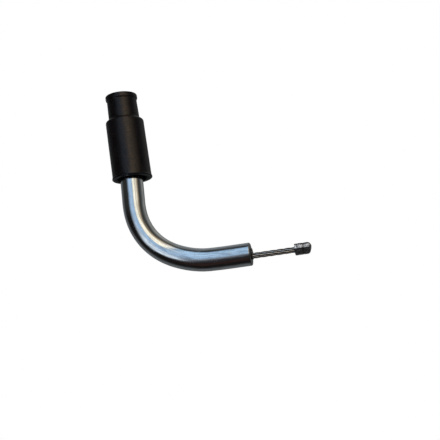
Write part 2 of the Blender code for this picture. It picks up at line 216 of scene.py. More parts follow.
def connect(graph, shader, **sockets):
    """Links or sets the shader's sockets, whose names have an underscore for each space."""
    for name, value in sockets.items():
        socket = shader.inputs[name.replace("_", " ")]
        if isinstance(value, bpy.types.NodeSocket):
            graph.tree.links.new(value, socket)
        elif isinstance(value, tuple):
            socket.default_value = (*value, 1.0)
        else:
            socket.default_value = value


def millimetres(graph):
    """The piece's own coordinates, in millimetres."""
    place = graph.node("ShaderNodeTexCoord").outputs["Object"]
    return graph.node("ShaderNodeVectorMath", {0: place, 3: 1 / MM}, operation="SCALE").outputs[0]


def chrome_material():
    """Polished chrome with fine drawing lines along the tube, small specks and faint smears."""
    material, graph, shader = start_material("scuffed_chrome")
    place = graph.node("ShaderNodeAttribute", attribute_name="straight").outputs["Vector"]
    station = graph.node("ShaderNodeSeparateXYZ", {0: place}).outputs[0]
    # The bend and the outlet arm are more scuffed than the inlet arm. The rim is duller, and its
    # colour is darkened as painted shade.
    worn = graph.soft(station, -52, -30, 0.35, 1.0)
    rim_dull_and_shade = graph.soft(station, -0.55, -0.25)
    lines = graph.noise(place, 3.4, 5.0, (0.05, 1.0, 1.0))
    broad = graph.noise(place, 1.6, 2.0, (0.12, 1.0, 1.0), (3.0, 0.0, 0.0))
    peel = graph.noise(place, 3.0, 4.0, (0.8, 1.0, 1.0))
    smears = graph.noise(place, 0.5, 3.0, (0.6, 1.0, 1.0), (7.0, 2.0, 0.0))
    haze = graph.soft(graph.noise(place, 0.42, 3.0, (0.8, 1.0, 1.0), (2.0, 9.0, 5.0)), 0.58, 0.68)
    specks = graph.soft(graph.noise(place, 2.6, 2.0, (0.7, 1.0, 1.0), (1.0, 5.0, 9.0)), 0.69, 0.75)
    nicks = graph.soft(graph.noise(place, 1.9, 3.0, (0.45, 1.2, 1.2), (11.0, 1.0, 4.0)), 0.70, 0.76)
    colour = graph.mix(graph.soft(smears, 0.35, 0.7), (0.86, 0.88, 0.90), (0.76, 0.77, 0.77))
    streaks = graph.noise(place, 3.0, 4.0, (0.07, 1.0, 1.0), (5.0, 5.0, 1.0))
    streaks = graph.times(graph.soft(streaks, 0.46, 0.66), worn, 0.8)
    colour = graph.mix(streaks, colour, (0.44, 0.45, 0.47))
    grit = graph.noise(place, 4.5, 3.0, (0.5, 1.0, 1.0), (8.0, 3.0, 2.0))
    grit = graph.times(graph.soft(grit, 0.52, 0.70), worn, 0.7)
    colour = graph.mix(grit, colour, (0.42, 0.42, 0.42))
    colour = graph.mix(graph.times(nicks, 0.6), colour, (0.25, 0.23, 0.21))
    # Painted shade: the rim's colour is darkened.
    colour = graph.mix(graph.times(rim_dull_and_shade, 0.9), colour, (0.27, 0.28, 0.29))
    rough = graph.soft(smears, 0.3, 0.75, 0.06, 0.12)
    rough = graph.plus(rough, graph.times(graph.soft(lines, 0.4, 0.75), 0.08, worn))
    rough = graph.plus(rough, graph.times(haze, 0.12, worn))
    rough = graph.plus(rough, graph.times(specks, 0.25))
    rough = graph.plus(rough, graph.times(rim_dull_and_shade, 0.2))
    normal = graph.bump(peel, 0.0045 * MM, worn)
    normal = graph.bump(broad, 0.008 * MM, 1.0, normal)
    normal = graph.bump(lines, 0.0055 * MM, worn, normal)
    normal = graph.bump(nicks, -0.01 * MM, 1.0, normal)
    connect(graph, shader, Base_Color=colour, Metallic=1.0, Roughness=rough, Normal=normal)
    return material


def rubber_material():
    """Moulded satin rubber with a fine grain and brownish dust that also paints a warm sheen. Its
    end face and bore are matt, with painted shade.
    """
    material, graph, shader = start_material("satin_rubber")
    place = millimetres(graph)
    grain = graph.noise(place, 9.0, 4.0)
    marks = graph.noise(place, 0.45, 4.0, (1.0, 1.0, 0.5))
    speckle = graph.soft(graph.noise(place, 4.0, 4.0, (1.0, 1.0, 0.7)), 0.35, 0.7)
    dust_and_sheen = graph.node("ShaderNodeAttribute", attribute_name="dust_and_sheen").outputs["Fac"]
    matt_and_shade = graph.node("ShaderNodeAttribute", attribute_name="matt_and_shade").outputs["Fac"]
    colour = graph.mix(graph.soft(marks, 0.4, 0.75), (0.0006, 0.0008, 0.0018),
                       (0.0018, 0.0018, 0.0028))
    # Dust, whose band on one side also paints a warm sheen where the boot's highlight falls.
    colour = graph.mix(graph.times(dust_and_sheen, speckle), colour, (0.042, 0.021, 0.010))
    # Painted shade: the matt end face and bore are made darker.
    colour = graph.mix(matt_and_shade, colour, (0.0008, 0.0008, 0.0008))
    rough = graph.plus(graph.soft(marks, 0.3, 0.8, 0.29, 0.35), graph.times(matt_and_shade, 0.45))
    normal = graph.bump(grain, 0.010 * MM)
    connect(graph, shader, Base_Color=colour, Roughness=rough, Normal=normal,
            Specular_IOR_Level=0.34)
    return material


def metal_material(name, light, dark, rough_low, rough_high, grain=0.004, ring_lines=0.0,
                   stretch=(1.0, 1.0, 1.0)):
    """A worked metal: uneven tone, fine grain and, on turned pieces, tool rings round the axis."""
    material, graph, shader = start_material(name)
    place = millimetres(graph)
    tone = graph.noise(place, 1.1, 4.0, stretch)
    fine = graph.noise(place, 11.0, 3.0, stretch)
    colour = graph.mix(graph.soft(tone, 0.32, 0.7), light, dark)
    rough = graph.soft(fine, 0.3, 0.75, rough_low, rough_high)
    normal = graph.bump(fine, grain * MM)
    if ring_lines:
        rings = graph.noise(place, 14.0, 2.0, (0.02, 0.02, 1.0))
        normal = graph.bump(rings, ring_lines * MM, 1.0, normal)
    connect(graph, shader, Base_Color=colour, Metallic=1.0, Roughness=rough, Normal=normal)
    return material


def wire_material():
    """Drawn steel wire with old grease and rust in the gaps between its wires, and painted shade
    there and on its upper side.
    """
    material, graph, shader = start_material("stranded_steel")
    place = millimetres(graph)
    depth = graph.node("ShaderNodeAttribute", attribute_name="height").outputs["Fac"]
    tone = graph.noise(place, 2.2, 3.0)
    fine = graph.noise(place, 14.0, 2.0)
    colour = graph.mix(graph.soft(tone, 0.35, 0.65), (0.46, 0.46, 0.48), (0.62, 0.52, 0.42))
    # The gaps between wires and strands take the grease colour, darkened further as painted shade.
    gap = graph.soft(graph.plus(depth, graph.soft(fine, 0.3, 0.7, -0.12, 0.12)), 0.88, 0.42)
    colour = graph.mix(gap, colour, (0.032, 0.024, 0.020))
    rough = graph.plus(graph.soft(tone, 0.3, 0.7, 0.30, 0.40), graph.times(gap, 0.3))
    normal = graph.bump(fine, 0.004 * MM)
    metal = graph.soft(gap, 0.35, 1.0, 1.0, 0.4)
    connect(graph, shader, Base_Color=colour, Metallic=metal, Roughness=rough, Normal=normal)
    return material


def slug_material():
    """Crimped steel: pitted, with painted light on one side, painted shade in its groove, and dark
    elsewhere and in its pits.
    """
    material, graph, shader = start_material("crimped_steel")
    place = millimetres(graph)
    pits = graph.noise(place, 2.0, 4.0)
    fine = graph.noise(place, 7.0, 3.0, (1.0, 1.0, 1.0), (4.0, 0.0, 2.0))
    painted_light_and_shade = graph.node("ShaderNodeAttribute", attribute_name="painted_light_and_shade").outputs["Fac"]
    pit_speckle = graph.plus(graph.soft(pits, 0.40, 0.58, 0.25, 1.0),
                        graph.soft(fine, 0.3, 0.7, -0.25, 0.25))
    # Painted light: the lit side takes a pale colour, broken by the pits.
    painted_shine = graph.math("MULTIPLY", pit_speckle, painted_light_and_shade, True)
    colour = graph.mix(painted_shine, (0.010, 0.009, 0.009), (0.85, 0.83, 0.83))
    rough = graph.soft(fine, 0.3, 0.7, 0.30, 0.46)
    normal = graph.bump(pits, 0.035 * MM)
    normal = graph.bump(fine, 0.012 * MM, 1.0, normal)
    connect(graph, shader, Base_Color=colour, Metallic=0.6, Roughness=rough, Normal=normal,
            Specular_IOR_Level=0.25)
    return material


def nylon_material():
    """Moulded black nylon with a fine grain."""
    material, graph, shader = start_material("black_nylon_moulding")
    place = millimetres(graph)
    tone = graph.noise(place, 1.5, 3.0)
    fine = graph.noise(place, 12.0, 3.0)
    colour = graph.mix(graph.soft(tone, 0.3, 0.7), (0.006, 0.006, 0.007), (0.012, 0.011, 0.011))
    rough = graph.soft(fine, 0.3, 0.7, 0.38, 0.55)
    connect(graph, shader, Base_Color=colour, Roughness=rough, Normal=graph.bump(fine, 0.008 * MM))
    return material


# ---------------------------------------------------------------- meshes, in millimetres

def arc(centre, radius, start, end, steps):
    """Points of an arc in a profile. Angles are in degrees from the first axis."""
    angles = np.radians(np.linspace(start, end, steps + 1))
    return [(centre[0] + radius * math.cos(a), centre[1] + radius * math.sin(a)) for a in angles]


def grid_faces(rows, columns, wrap_rows, wrap_columns):
    """Quads between neighbouring points of a grid that is listed row by row."""
    faces = []
    for i in range(rows if wrap_rows else rows - 1):
        for j in range(columns if wrap_columns else columns - 1):
            a, b = (i + 1) % rows, (j + 1) % columns
            faces.append((i * columns + j, i * columns + b, a * columns + b, a * columns + j))
    return faces


def make_piece(name, points, faces, material, body, replaced, sharp=32.0, fields=None):
    """A named object from points in millimetres, riding on a body and standing for CAD nodes."""
    mesh = bpy.data.meshes.new(name)
    mesh.from_pydata([tuple(float(v) * MM for v in p) for p in points], [], faces)
    for field, values in (fields or {}).items():
        values = np.asarray(values, np.float32)
        kind, key = ("FLOAT_VECTOR", "vector") if values.ndim == 2 else ("FLOAT", "value")
        mesh.attributes.new(field, kind, "POINT").data.foreach_set(key, values.ravel())
    builder = bmesh.new()
    builder.from_mesh(mesh)
    bmesh.ops.remove_doubles(builder, verts=builder.verts, dist=1e-8)
    bmesh.ops.recalc_face_normals(builder, faces=builder.faces)
    builder.to_mesh(mesh)
    builder.free()
    mesh.materials.append(material)
    mesh.shade_smooth()
    mesh.set_sharp_from_angle(angle=math.radians(sharp))
    piece = bpy.data.objects.new(name, mesh)
    bpy.context.scene.collection.objects.link(piece)
    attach(piece, body)
    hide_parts(*replaced)
    return piece


def turned(profile, segments=96, sweep=360.0, axis_x=INLET_X):
    """A closed profile of (r, z) points turned about the inlet arm's axis."""
    whole = sweep == 360.0
    count = segments if whole else segments + 1
    angles = np.radians(sweep) * np.arange(count) / segments
    points = [(axis_x + r * math.cos(a), r * math.sin(a), z) for a in angles for r, z in profile]
    faces = grid_faces(count, len(profile), whole, True)
    if not whole:
        faces += [tuple(range(len(profile))),
                  tuple(len(points) - 1 - k for k in range(len(profile)))]
    return np.array(points), faces


def along_outlet(profile, segments=96):
    """A closed profile of (r, x) points turned about the outlet arm's axis."""
    points, faces = turned(profile, segments, 360.0, 0.0)
    return np.stack([points[:, 2], points[:, 1], -points[:, 0]], -1), faces


def bend_along_tube(points):
    """Straight tube points along X, moved onto the bent tube's path."""
    past = BEND_X - points[:, 0]
    angle = np.clip(past / BEND_R, 0.0, math.pi / 2)
    beyond = np.clip(past - BEND_R * math.pi / 2, 0.0, None)
    arm = BEND_R - points[:, 2]
    x, z = BEND_X - arm * np.sin(angle), BEND_R - arm * np.cos(angle) + beyond
    bent = np.stack([x, points[:, 1], z], -1)
    return np.where((past <= 0)[:, None], points, bent)


def sway_tube(points):
    """The bent tube's unevenness: its outside leaves the plain arc a little, and its bore stays."""
    spread = np.linspace(-6.0, 6.0, 25)
    weights = np.exp(-(spread / 2.5) ** 2)
    inward = sum(weight * np.interp(step - points[:, 0], TUBE_STATIONS, TUBE_INWARD)
                 for step, weight in zip(spread, weights))
    outside = np.hypot(points[:, 1], points[:, 2]) > BORE_R + 0.3
    swayed = points.copy()
    swayed[:, 2] += outside * inward / weights.sum()
    return swayed


def tube_piece(material):
    """The bent tube, with its rounded outlet rim and the lip that is rolled in over the bush."""
    bend_length = BEND_R * math.pi / 2
    end = BEND_X - bend_length - (INLET_END_Z - BEND_R)
    bend_stations = list(np.linspace(BEND_X, BEND_X - bend_length, 97))
    outer = arc((TUBE_R - RIM_ROUND, -RIM_ROUND), RIM_ROUND, 90, 0, 10)
    outer += [(TUBE_R, x) for x in np.linspace(-1.5, BEND_X + 0.5, 14)]
    outer += [(TUBE_R, x) for x in bend_stations]
    outer += [(TUBE_R, x) for x in np.linspace(BEND_X - bend_length - 0.5, end + 0.3, 12)]
    inner = arc((TUBE_R - 0.25, end + 0.25), 0.25, 0, -90, 3)
    inner += [(BORE_R + 0.2, end), (BORE_R, end + 0.2)]
    inner += [(BORE_R, x) for x in reversed(bend_stations)]
    inner += [(BORE_R, -LIP_DEPTH), (LIP_BORE_R, -LIP_DEPTH)]
    inner += arc((LIP_BORE_R + 0.18, -0.18), 0.18, 180, 90, 4)
    points, faces = along_outlet(outer + inner, 144)
    bent = bend_along_tube(sway_tube(points))
    return make_piece("chromed_elbow_tube", bent, faces, material, "elbow",
                      ["elbow_tube"], 40.0, {"straight": points})


def strand_section(count):
    """The outline of six small wires round a middle one, as (angle, radius, height) triples.

    height is 0 in the gap between two small wires and 1 on their crowns.
    """
    wire = STRAND_R / 3
    outline = []
    for k in range(count):
        angle = math.tau * k / count
        offset = (angle + math.pi / 6) % (math.pi / 3) - math.pi / 6
        half_chord = math.sqrt(max(wire ** 2 - (2 * wire * math.sin(offset)) ** 2, 0))
        radius = 2 * wire * math.cos(offset) + half_chord
        height = (radius / STRAND_R - GAP_SHARE) / CROWN_SHARE
        # Drawing the wire down has pressed the small wires together, so their gaps are shallow.
        outline.append((angle, STRAND_R * (0.88 + 0.12 * height), height))
    return outline


def stranded(start, end, step, place):
    """Six laid strands between two stations. place moves straight points onto the wire's route."""
    outline = strand_section(30)
    stations = np.linspace(start, end, max(2, round((end - start) / step)) + 1)
    points, heights, faces = [], [], []
    slope = math.tau / LAY_LENGTH
    wire_lay = math.tau / STRAND_LAY_LENGTH
    for strand in range(6):
        base = len(points)
        for x in stations:
            turn = slope * x + math.tau * strand / 6
            outward = np.array((0, math.cos(turn), math.sin(turn)))
            around = np.array((0, -math.sin(turn), math.cos(turn)))
            along = np.array((1, 0, 0)) + around * slope * STRAND_CIRCLE_R
            along /= np.linalg.norm(along)
            across = np.cross(along, outward)
            centre = np.array((x, 0, 0)) + outward * STRAND_CIRCLE_R
            for angle, radius, height in outline:
                spin = angle - wire_lay * x
                ray = math.cos(spin) * outward + math.sin(spin) * across
                points.append(centre + ray * radius)
                # 1 on the wires that face outwards, and 0 deep between the strands.
                facing = math.cos((spin + math.pi) % math.tau - math.pi)
                # Painted shade: the wire's upper side is made darker.
                painted_top_shade = 0.24 * max(0.0, min(1.0, (points[-1][2] - 0.1) / 0.6))
                heights.append(0.22 * height + 0.78 * max(0.0, 0.3 + 0.7 * facing) - painted_top_shade)
        rows, columns = len(stations), len(outline)
        faces += [tuple(base + v for v in face) for face in grid_faces(rows, columns, False, True)]
        faces.append(tuple(base + k for k in range(columns)))
        faces.append(tuple(base + rows * columns - 1 - k for k in range(columns)))
    points = place(np.array(points))
    return points, faces, {"height": heights}


def hexagon_radius(angle, flat_r, soften=0.0):
    """The distance to a hexagon's side, whose corners face along the first axis."""
    offset = (angle + math.pi / 6) % (math.pi / 3) - math.pi / 6
    radius = flat_r / math.cos(math.pi / 6 - abs(offset))
    return radius - soften * math.exp(-(offset / 0.06) ** 2)


def hex_body(levels, inner, thread=None, segments=144):
    """A hexagon piece with a bore.

    levels are (z, cone radius, hexagon or not). inner is the bore's profile from top to bottom.
    """
    points = []
    for z, cone, is_hexagon in levels:
        for k in range(segments):
            angle = math.tau * k / segments
            radius = cone
            if is_hexagon:
                radius = min(hexagon_radius(angle, HEX_FLAT_R, 0.06), cone)
            elif thread is not None:
                radius = min(cone, thread(angle, z))
            points.append((INLET_X + radius * math.cos(angle), radius * math.sin(angle), z))
    for r, z in inner:
        for k in range(segments):
            angle = math.tau * k / segments
            points.append((INLET_X + r * math.cos(angle), r * math.sin(angle), z))
    return np.array(points), grid_faces(len(levels) + len(inner), segments, True, True)


def hexagon_levels(low, high):
    """Levels of a hexagon with turned chamfers at both ends."""
    corner = HEX_FLAT_R / math.cos(math.pi / 6) + 0.1
    end_r = corner - 1.7 * HEX_CHAMFER
    rise = [k / 5 for k in range(6)]
    levels = [(low + HEX_CHAMFER * t, end_r + (corner - end_r) * t, True) for t in rise]
    levels += [(low + (high - low) * k / 6, corner, True) for k in range(1, 6)]
    levels += [(high - HEX_CHAMFER * t, end_r + (corner - end_r) * t, True) for t in reversed(rise)]
    return levels


def metric_thread(angle, z):
    """Radius of an M6 x 1 right-hand thread."""
    phase = (z - angle / math.tau) % 1.0
    tooth = min(1.0, max(0.0, 1.45 * abs(2 * phase - 1) - 0.2))
    return THREAD_R - THREAD_DEPTH * (1 - tooth)


# ---------------------------------------------------------------- pieces

def rough_points(points, centre, size, scale, seed):
    """Moves points in and out by smooth noise, for a worn or moulded surface."""
    moved = []
    for point in points:
        place = Vector(point) * scale + Vector((seed, 0, 0))
        ray = Vector(point) - Vector(centre(point))
        ray = ray.normalized() if ray.length > 1e-6 else Vector((0, 0, 0))
        moved.append(Vector(point) + ray * size * noise.noise(place))
    return moved


def boot_piece(material):
    """The stepped boot: rolled mouth, wide skirt, round shoulder, neck and collar."""
    mouth, shoulder, top = BOOT_MOUTH_Z, BOOT_SHOULDER_Z, BOOT_TOP_Z
    profile = [(5.0, mouth + 0.6), (5.05, mouth + 0.3), (5.2, mouth + 0.05)]
    profile += arc((6.72, mouth + 0.38), 0.38, -90, 40, 9)
    profile += [(6.93, mouth + 0.9), (6.89, mouth + 1.3)]
    skirt = mouth + 1.8
    profile += [(SKIRT_LOW_R + (SKIRT_HIGH_R - SKIRT_LOW_R) * t, skirt + (shoulder - skirt) * t)
                for t in np.linspace(0, 1, 14)]
    profile += arc((5.74, shoulder), 1.0, 8, 58, 7)
    neck = shoulder + 1.5
    profile += [(5.85, neck - 0.27), (5.6, neck - 0.16), (5.47, neck - 0.06), (NECK_R, neck + 0.12)]
    profile += [(NECK_R - 0.13 * t, neck + 0.5 + 5.7 * t) for t in np.linspace(0, 1, 6)]
    profile += arc((5.9, 61.4), 0.6, 188, 150, 3) + arc((5.15, 62.2), 0.5, -28, 0, 3)
    profile += [(5.65, 62.7)] + arc((5.15, top - 0.5), 0.5, 0, 90, 6)
    profile += [(2.75, top), (2.6, top - 0.15), (2.6, top - 1.0), (3.2, top - 1.6), (3.2, 54.3),
                (3.4, 54.1), (4.8, 53.3), (5.0, 53.1), (5.0, 46.0), (5.0, 40.0)]
    points, faces = turned(profile, 120)
    shaped, matt_and_shade, dust_and_sheen = [], [], []
    for x, y, z in points:
        radius = math.hypot(x - INLET_X, y)
        outside = radius > 5.25 and mouth + 0.6 < z < top - 0.3
        # The mould's parting line stands a little proud along both sides of the boot.
        swell = 0.035 * math.exp(-(y / 0.12) ** 2) if outside else 0.0
        wave = 0.03 * noise.noise(Vector(((x - INLET_X) * 0.25, y * 0.25, z * 0.16)))
        factor = (radius + swell + wave) / radius
        # The soft boot leans by two degrees, but its bore stays upright round the adjuster.
        leans = outside or radius > 5.15 or z < mouth + 1 or z > top - 1.1
        lean = BOOT_LEAN_START - BOOT_LEAN * (z - mouth) if leans else 0.0
        shaped.append((INLET_X + (x - INLET_X) * factor + lean, y * factor, z))
        # The end face and bore are matt, and their colour gets painted shade.
        matt_and_shade.append(0.0 if outside or (radius > 6.6 and z < mouth + 1) else 1.0)
        # Dust lies on the side that faces -Y and a little towards the outlet, and its band there
        # also paints a warm sheen where the boot's highlight falls.
        off = (math.degrees(math.atan2(x - INLET_X, -y)) - DUST_SHEEN_ANGLE) / DUST_SHEEN_SPREAD
        dust_and_sheen.append(0.12 + 0.72 * math.exp(-off ** 2) if outside else 0.0)
    return make_piece("moulded_rubber_boot", shaped, faces, material, "boot",
                      ["rubber_boot"], 50.0, {"matt_and_shade": matt_and_shade, "dust_and_sheen": dust_and_sheen})


def bush_piece(material):
    """The black bush in the outlet, with its nose round the wire."""
    profile = [(1.12, 0.35)] + arc((1.27, 0.35), 0.15, 180, 90, 4)
    profile += arc((1.8, 0.3), 0.2, 90, 0, 5)
    profile += [(2.0, -0.5), (2.0, -1.0), (2.35, -1.0), (2.45, -1.1), (2.45, -4.9), (2.35, -5.0),
                (1.7, -5.0), (1.12, -3.8)]
    points, faces = along_outlet(profile, 96)
    # The hole lies low, under the wire.
    radius = np.hypot(points[:, 1], points[:, 2])
    share = np.clip((1.95 - radius) / 0.6, 0, 1) * (radius < 1.95)
    points[:, 2] -= WIRE_DROP * share
    return make_piece("outlet_bush_nose", points, faces, material, "elbow",
                      ["outlet_bush"], 45.0)


def wire_pieces(material):
    """The inner wire's rigid stretches: in the outlet arm, in the bend and in the adjuster."""
    path_r = BEND_R + HIDDEN_WIRE_DROP

    def straight(points):
        return points - np.array((0, 0, WIRE_DROP))

    def bent(points):
        """Station 0 is where the bend's middle line meets the outlet arm."""
        angle = points[:, 0] / path_r
        arm = path_r - points[:, 2]
        x, z = BEND_X - arm * np.sin(angle), BEND_R - arm * np.cos(angle)
        return np.stack([x, points[:, 1], z], -1)

    def upright(points):
        return np.stack([INLET_X - HIDDEN_WIRE_DROP + points[:, 2], points[:, 1], points[:, 0]], -1)

    points, faces, fields = stranded(*VISIBLE_WIRE_SPAN, step=0.15, place=straight)
    names = ["wire_strand_%d" % k for k in range(1, 7)]
    make_piece("laid_wire_strands", points, faces, material, "wire",
               names, 60.0, fields)
    first, last = (math.radians(a) * path_r for a in BEND_WIRE_ANGLES)
    points, faces, fields = stranded(first, last, step=0.4, place=bent)
    make_piece("laid_wire_in_bend", points, faces, material, "wire_in_bend",
               ["wire_bend"], 60.0, fields)
    points, faces, fields = stranded(*INLET_WIRE_SPAN, step=0.4, place=upright)
    make_piece("laid_wire_in_adjuster", points, faces, material, "wire_in_adjuster",
               ["wire_inlet"], 60.0, fields)


def slug_piece(material):
    """The end slug: swaged to a soft hexagon in two bites, with a groove between them."""
    start, groove, tip, flat = SLUG_START, SLUG_GROOVE, SLUG_TIP, SLUG_FLAT_R
    knots = [(start, flat - 0.12), (start + 0.14, flat), (groove - GROOVE_HALF_WIDTH, flat),
             (groove - 0.2, flat - 0.2), (groove, flat - 0.26), (groove + 0.2, flat - 0.2),
             (groove + GROOVE_HALF_WIDTH, flat), (tip - 0.45, flat), (tip, flat - 0.42)]
    stations = np.unique(np.concatenate([np.linspace(start, tip, 60), [x for x, _ in knots]]))
    radii = np.interp(stations, [x for x, _ in knots], [r for _, r in knots])
    segments = 120
    points, painted_light_and_shade = [], []
    for x, flat_r in zip(stations, radii):
        for k in range(segments):
            angle = math.tau * k / segments
            radius = min(hexagon_radius(angle, flat_r), flat_r + 0.2)
            # The groove is only bitten into the sides. The tip is worn above and cut at a slant.
            if abs(x - groove) < GROOVE_HALF_WIDTH:
                radius += GROOVE_RELIEF * math.sin(angle) ** 2 * (flat - flat_r)
            worn = max(0.0, (x - tip) / SLUG_WEAR_LENGTH + 1)
            radius -= SLUG_WEAR * max(0.0, math.sin(angle)) ** 2 * worn
            past_groove = max(0.0, (x - groove) / (tip - groove))
            slant = SLUG_SLANT * (radius * math.sin(angle) + SLUG_SLANT_RISE) * past_groove
            y, z = radius * math.cos(angle), radius * math.sin(angle) - WIRE_DROP
            points.append((x + slant, y, z))
            # Painted light: the side that faces -Y and a little upwards is made light, bar the tip,
            # and the groove gets painted shade.
            off = abs(math.degrees(angle) - LIT_SIDE_ANGLE)
            side = max(0.0, min(1.0, (LIT_SIDE_SPREAD - off) / 6))
            light = 0.05 + 0.95 * side * max(0.0, min(1.0, (tip - 0.1 - x) / 0.5))
            painted_light_and_shade.append(light * (1 - max(0.0, 1 - abs(x - groove) / 0.32) * (0.9 - 0.15 * side)))

    def centre(point):
        return point[0], 0, -WIRE_DROP

    points = rough_points(points, centre, size=0.05, scale=1.7, seed=3.0)
    points = rough_points(points, centre, size=0.04, scale=4.5, seed=9.0)
    rows = len(stations)
    faces = grid_faces(rows, segments, False, True)
    middle = (tip + SLUG_TIP_BULGE, 0.0, -WIRE_DROP)
    for share in (0.7, 0.4, 0.15):
        base = len(points)
        ring = points[(rows - 1) * segments:rows * segments]
        for point in ring:
            pit = 0.04 * noise.noise(Vector(point) * 3 * share)
            points.append(Vector(middle).lerp(point, share) + Vector((pit, 0, 0)))
        inner = (rows - 1) * segments if share == 0.7 else base - segments
        faces += [(inner + k, inner + (k + 1) % segments, base + (k + 1) % segments, base + k)
                  for k in range(segments)]
    faces.append(tuple(range(len(points) - segments, len(points))))
    base = len(points)
    turns = [math.tau * k / segments for k in range(segments)]
    # The socket that the wire sits in.
    socket = ((start, 1.3), (start + 0.15, SLUG_SOCKET_R), (start + 3.8, SLUG_SOCKET_R))
    for x, r in socket:
        points += [Vector((x, r * math.cos(turn), r * math.sin(turn) - WIRE_DROP))
                   for turn in turns]
    rings = [0] + [base + n * segments for n in range(len(socket))]
    for near, far in zip(rings, rings[1:]):
        faces += [(near + k, near + (k + 1) % segments, far + (k + 1) % segments, far + k)
                  for k in range(segments)]
    faces.append(tuple(range(len(points) - segments, len(points))))
    painted_light_and_shade += [0.1] * (len(points) - len(painted_light_and_shade))
    return make_piece("crimped_wire_slug", points, faces, material, "wire",
                      ["wire_slug"], 55.0, {"painted_light_and_shade": painted_light_and_shade})


def swivel_pieces(steel, nylon, rubber, spring_steel):
    """The spigot in the tube's end with its washer, seal and snap ring, and the union on it."""
    spigot = [(2.2, 32.0), (2.45, 32.25), (2.45, 35.1), (3.8, 35.1), (3.9, 35.2), (3.9, 35.5),
              (3.8, 35.6), (3.0, 35.6), (3.0, 37.0), (2.25, 37.0), (2.25, 37.9), (3.0, 37.9),
              (3.0, 38.5), (2.55, 38.5), (2.55, 39.1), (3.0, 39.1), (3.0, 39.2), (2.8, 39.4),
              (WIRE_HOLE_R, 39.4), (WIRE_HOLE_R, 33.0)]
    points, faces = turned(spigot)
    make_piece("turned_inlet_spigot", points, faces, steel, "elbow", ["inlet_spigot"])
    washer = [(3.1, 35.75), (3.15, 35.7), (3.85, 35.7), (3.9, 35.75), (3.9, 36.05), (3.85, 36.1),
              (3.15, 36.1), (3.1, 36.05)]
    points, faces = turned(washer)
    make_piece("nylon_thrust_washer", points, faces, nylon, "elbow",
               ["thrust_washer"])
    points, faces = turned(arc((2.66, 37.45), 0.36, 0, 345, 23))
    make_piece("seal_ring", points, faces, rubber, "elbow", ["o_ring"], 60.0)
    ring = [(2.65, 38.6), (2.7, 38.55), (3.35, 38.55), (3.4, 38.6), (3.4, 39.0), (3.35, 39.05),
            (2.7, 39.05), (2.65, 39.0)]
    points, faces = turned(ring, segments=90, sweep=335.0)
    # The ring's gap faces +Y.
    turn = math.radians(100)
    x, y = points[:, 0] - INLET_X, points[:, 1].copy()
    points[:, 0] = INLET_X + x * math.cos(turn) - y * math.sin(turn)
    points[:, 1] = x * math.sin(turn) + y * math.cos(turn)
    make_piece("split_snap_ring", points, faces, spring_steel, "elbow",
               ["snap_ring"])
    bore = [(3.25, UNION_HIGH_Z), (3.05, 44.2), (3.05, 39.2), (3.5, 39.2), (3.5, 38.4),
            (3.05, 38.4), (3.05, 36.4), (3.25, UNION_LOW_Z)]
    points, faces = hex_body(hexagon_levels(UNION_LOW_Z, UNION_HIGH_Z), bore)
    make_piece("hexagon_union_body", points, faces, steel, "union", ["union_body"])


def adjuster_pieces(steel, brass, spring_steel):
    """The adjuster screw with its lock washer and nut, and the ferrule and seat in its head."""
    shank = [(39.8, 2.55, False), (39.85, 2.6, False)]
    shank += [(z, THREAD_R, False) for z in np.linspace(40.0, 48.3, 134)]
    shank += [(48.5, 2.5, False), (48.95, 2.5, False), (HEAD_LOW_Z, 3.3, False)]
    levels = shank + hexagon_levels(HEAD_LOW_Z, HEAD_HIGH_Z)
    bore = [(3.2, HEAD_HIGH_Z), (3.1, 52.7), (3.1, 50.2), (WIRE_HOLE_R, 50.2),
            (WIRE_HOLE_R, 40.0), (1.8, 39.8)]
    points, faces = hex_body(levels, bore, thread=metric_thread, segments=120)
    make_piece("threaded_adjuster_screw", points, faces, steel, "adjuster",
               ["adjuster_screw"])
    washer = [(3.1, 44.55), (3.15, 44.5), (4.2, 44.5), (4.3, 44.6), (4.3, 44.8), (4.2, 44.9),
              (3.15, 44.9), (3.1, 44.85)]
    points, faces = turned(washer)
    make_piece("spring_lock_washer", points, faces, spring_steel, "nut_washer",
               ["lock_washer"])
    bore = [(3.3, NUT_HIGH_Z), (3.05, 47.15), (3.05, 45.25), (3.3, NUT_LOW_Z)]
    points, faces = hex_body(hexagon_levels(NUT_LOW_Z, NUT_HIGH_Z), bore)
    make_piece("hexagon_lock_nut", points, faces, steel, "nut", ["lock_nut"])
    ferrule = [(1.8, 50.3), (2.75, 50.3), (2.92, 50.37), (3.0, 50.55), (3.0, 52.9), (2.95, 53.0),
               (2.9, 53.2), (2.95, 53.4), (3.0, 53.5), (3.0, 58.25), (2.92, 58.43), (2.75, 58.5),
               (2.65, 58.5), (2.55, 58.35), (2.55, 51.6), (WIRE_HOLE_R, 51.6), (WIRE_HOLE_R, 50.5)]
    points, faces = turned(ferrule)
    make_piece("conduit_end_ferrule", points, faces, brass, "conduit_end",
               ["conduit_ferrule"])
    seat = [(1.65, 51.7), (2.45, 51.7), (2.5, 51.75), (2.5, 52.05), (2.45, 52.1), (1.65, 52.1),
            (WIRE_HOLE_R, 52.05), (WIRE_HOLE_R, 51.75)]
    points, faces = turned(seat)
    make_piece("conduit_seat_washer", points, faces, spring_steel, "conduit_end",
               ["seat_washer"])


